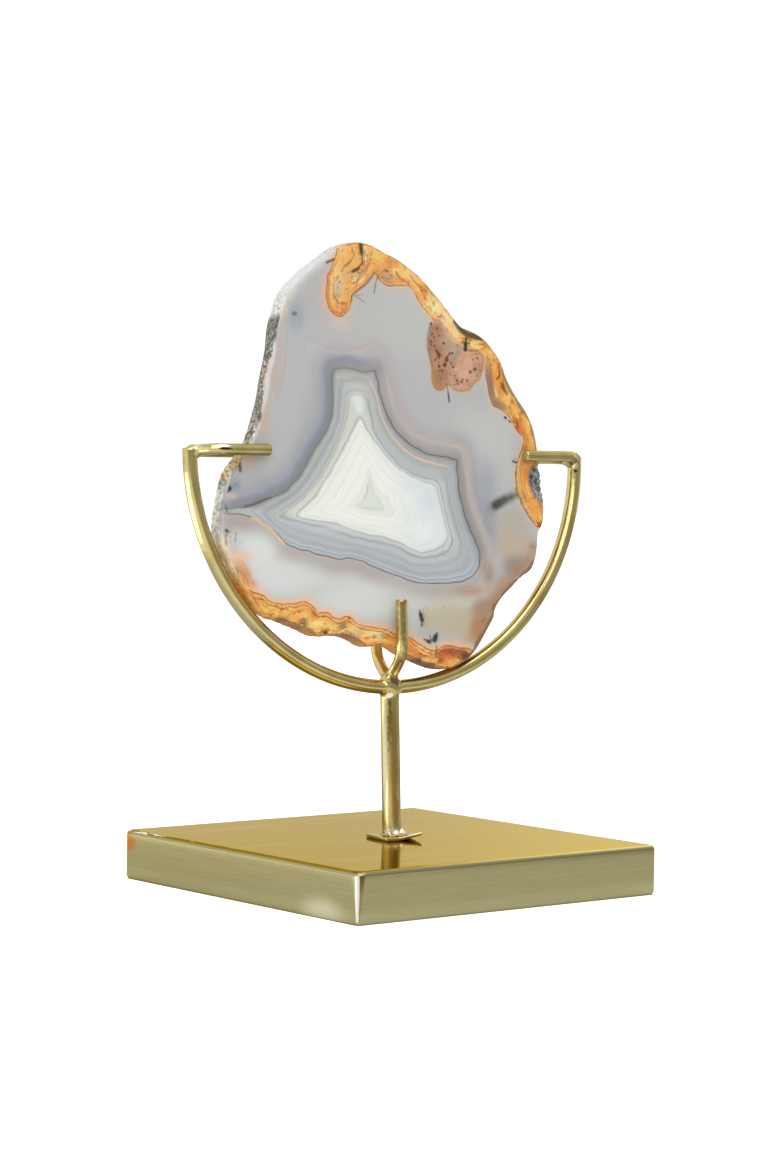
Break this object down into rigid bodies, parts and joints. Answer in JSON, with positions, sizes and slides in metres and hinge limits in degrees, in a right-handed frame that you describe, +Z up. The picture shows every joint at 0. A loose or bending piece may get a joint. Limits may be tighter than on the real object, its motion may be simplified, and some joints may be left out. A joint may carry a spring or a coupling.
{
  "type": "polished agate slice in a brass holder on a square brass base",
  "caption": "Polished slice of banded grey, white and amber agate standing upright in a brass holder of bent round rod, on a post and a square brass base.",
  "frame": {"origin": "centre of the base's flat underside", "axes": "+Z up, X along the stone's width, +Y from the stone's front face to its back"},
  "size_m": [0.1604, 0.127, 0.2152],
  "materials": {
    "base_brass": "satin",
    "rod_brass": "satin",
    "agate": "polished"
  },
  "bodies": {
    "root": {"base": "base_brass", "foot_plate": "rod_brass", "post": "rod_brass", "arc": "rod_brass", "left_front_tine": "rod_brass", "left_back_tine": "rod_brass", "right_front_tine": "rod_brass", "right_back_tine": "rod_brass", "fork_front_tine": "rod_brass", "fork_back_tine": "rod_brass", "agate_slice": "agate"}
  },
  "joints": []
}
